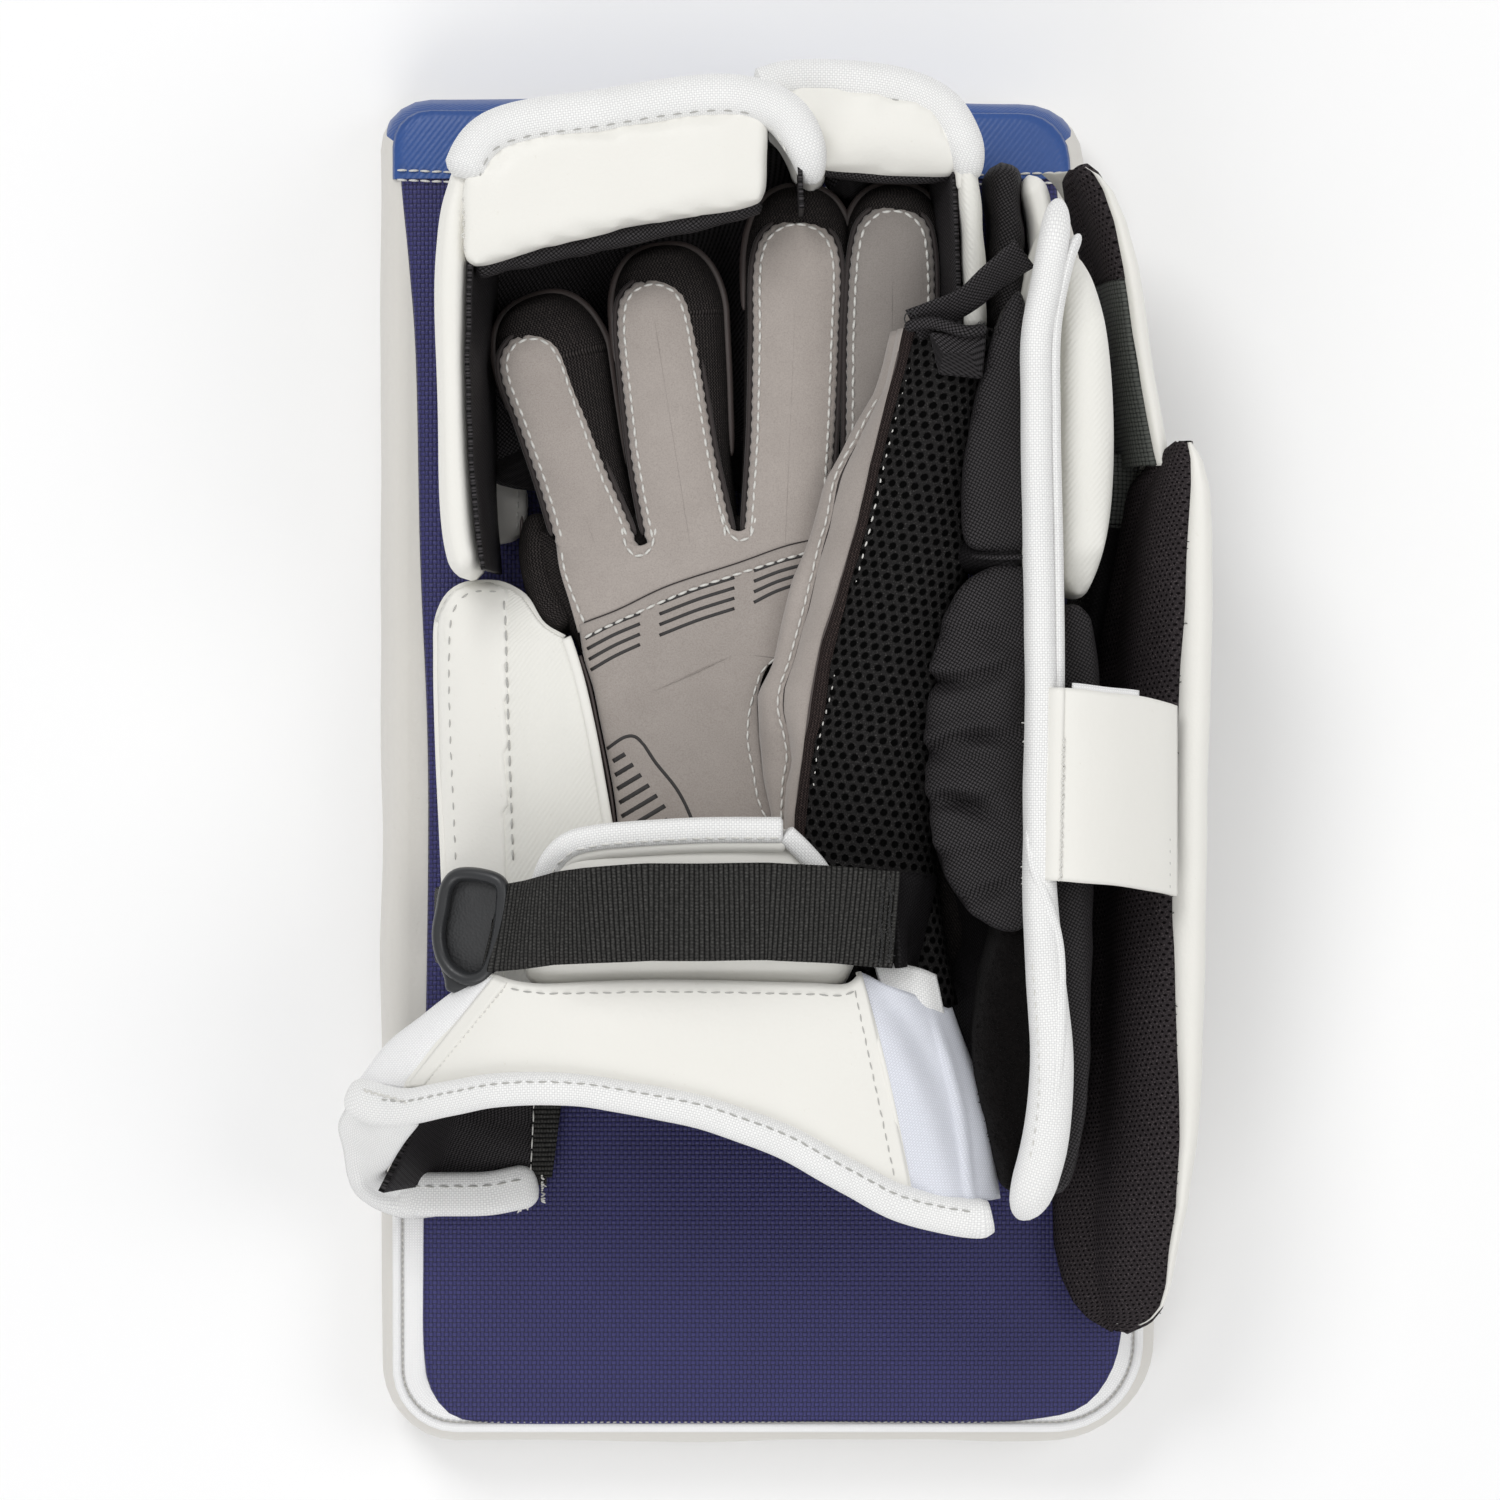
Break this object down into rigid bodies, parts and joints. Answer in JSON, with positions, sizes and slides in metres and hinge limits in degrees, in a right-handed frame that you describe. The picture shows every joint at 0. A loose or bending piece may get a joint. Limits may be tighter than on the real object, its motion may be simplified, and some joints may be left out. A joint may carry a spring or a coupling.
{
  "type": "goalie blocker glove",
  "caption": "Right-hand ice hockey goalie blocker: a flat padded board with a fingered glove, finger hoods, thumb and side guards, and a flared cuff closed by a webbing strap.",
  "frame": {"origin": "centre of the board's flat front face, which the blocker rests on", "axes": "+Z out of the palm side, +Y to the fingertips along the board, +X to the thumb"},
  "size_m": [0.2246, 0.3578, 0.1226],
  "materials": {
    "white_leather": "satin synthetic leather with a fine grain",
    "white_woven": "smooth woven polyester tape",
    "navy_nylon": "basket-weave nylon",
    "blue_leather": "satin synthetic leather with fine diagonal lines",
    "black_nylon": "woven nylon",
    "black_mesh": "open spacer mesh",
    "grey_suede": "short-napped synthetic suede",
    "loop_pile": "fuzzy loop pile",
    "black_webbing": "ribbed twill webbing",
    "black_plastic": "moulded with a pebbled face",
    "foam": "closed-cell foam, hidden",
    "stiffener": "flat plastic sheet, hidden"
  },
  "bodies": {
    "board": {"foam_core": "foam", "stiffener_plate": "stiffener", "board_face_skin": "white_leather", "board_top_cap": "blue_leather", "board_back_cover": "navy_nylon", "board_bottom_piping": "white_woven", "hand_base_pad": "black_nylon", "glove_hand_shell": "black_nylon", "palm_panel": "grey_suede", "thumb_heel_panel": "black_mesh", "wrist_side_panel": "white_leather", "hood_anchor_tab": "white_woven", "keeper_webbing": "black_webbing", "inner_side_pad": "black_nylon", "inner_side_pad_cover": "white_leather", "cuff_back_panel": "black_nylon", "cuff_back_binding": "white_woven"},
    "three_finger_hood": {"finger_hood_shell": "white_leather", "finger_hood_liner": "black_nylon", "finger_hood_lip": "white_leather", "finger_hood_binding": "white_woven"},
    "index_hood": {"index_hood_shell": "white_leather", "index_hood_lip": "white_leather", "index_hood_binding": "white_woven"},
    "thumb_side": {"thumb_stall": "black_nylon", "thumb_mesh_panel": "black_mesh", "thumb_facing": "grey_suede", "pull_tab": "black_webbing", "thumb_guard_core": "white_leather", "thumb_guard_upper_pad": "black_nylon", "thumb_guard_lower_pad": "black_nylon", "thumb_guard_outer_pad": "white_leather", "thumb_guard_binding": "white_woven", "thumb_loop_patch": "loop_pile", "bridge_strap": "white_leather", "lower_side_guard": "white_leather", "lower_side_guard_liner": "black_mesh"},
    "upper_side_guard": {"upper_side_guard": "white_leather", "upper_side_guard_liner": "black_mesh"},
    "cuff_flap": {"cuff_palm_shell": "white_leather", "cuff_gusset": "white_woven", "cuff_binding": "white_woven", "cuff_lining": "black_nylon", "cuff_roll_pad": "white_leather", "strap_anchor_tab": "black_nylon"},
    "wrist_strap": {"wrist_strap": "black_webbing"},
    "strap_ring": {"strap_ring": "black_plastic"},
    "pinky_finger": {"pinky_stall": "black_nylon", "pinky_facing": "grey_suede"},
    "ring_finger": {"ring_stall": "black_nylon", "ring_facing": "grey_suede"},
    "middle_finger": {"middle_stall": "black_nylon", "middle_facing": "grey_suede"},
    "index_finger": {"index_stall": "black_nylon", "index_facing": "grey_suede"}
  },
  "joints": [
    {"name": "three_finger_hood_flex", "type": "hinge", "parent": "board", "child": "three_finger_hood", "pos_m": [-0.035, 0.052, 0.075], "axis": [1, 0, 0], "range_deg": [0, 15]},
    {"name": "pinky_curl", "type": "hinge", "parent": "three_finger_hood", "child": "pinky_finger", "pos_m": [-0.044, 0.0565, 0.075], "axis": [1, 0, 0], "range_deg": [0, 20]},
    {"name": "ring_curl", "type": "hinge", "parent": "three_finger_hood", "child": "ring_finger", "pos_m": [-0.02, 0.0565, 0.075], "axis": [1, 0, 0], "range_deg": [0, 20]},
    {"name": "middle_curl", "type": "hinge", "parent": "three_finger_hood", "child": "middle_finger", "pos_m": [0.004, 0.0565, 0.075], "axis": [1, 0, 0], "range_deg": [0, 12]},
    {"name": "index_hood_flex", "type": "hinge", "parent": "board", "child": "index_hood", "pos_m": [0.038, 0.052, 0.075], "axis": [1, 0, 0], "range_deg": [0, 6]},
    {"name": "index_curl", "type": "hinge", "parent": "index_hood", "child": "index_finger", "pos_m": [0.031, 0.0565, 0.075], "axis": [1, 0, 0], "range_deg": [0, 12]},
    {"name": "thumb_side_flare", "type": "hinge", "parent": "board", "child": "thumb_side", "pos_m": [0.1, 0, 0.036], "axis": [0, 1, 0], "range_deg": [0, 10]},
    {"name": "upper_side_guard_flex", "type": "hinge", "parent": "thumb_side", "child": "upper_side_guard", "pos_m": [0.096, 0.12, 0.036], "axis": [0, 1, 0], "range_deg": [0, 12]},
    {"name": "cuff_open", "type": "hinge", "parent": "board", "child": "cuff_flap", "pos_m": [-0.098, -0.09, 0.052], "axis": [0, -1, 0], "range_deg": [0, 25]},
    {"name": "strap_lift", "type": "hinge", "parent": "cuff_flap", "child": "wrist_strap", "pos_m": [0.0325, -0.03775, 0.108], "axis": [0, 1, 0], "range_deg": [0, 60]},
    {"name": "ring_swing", "type": "hinge", "parent": "wrist_strap", "child": "strap_ring", "pos_m": [-0.07, -0.03775, 0.1], "axis": [0, 1, 0], "range_deg": [0, 30]}
  ]
}
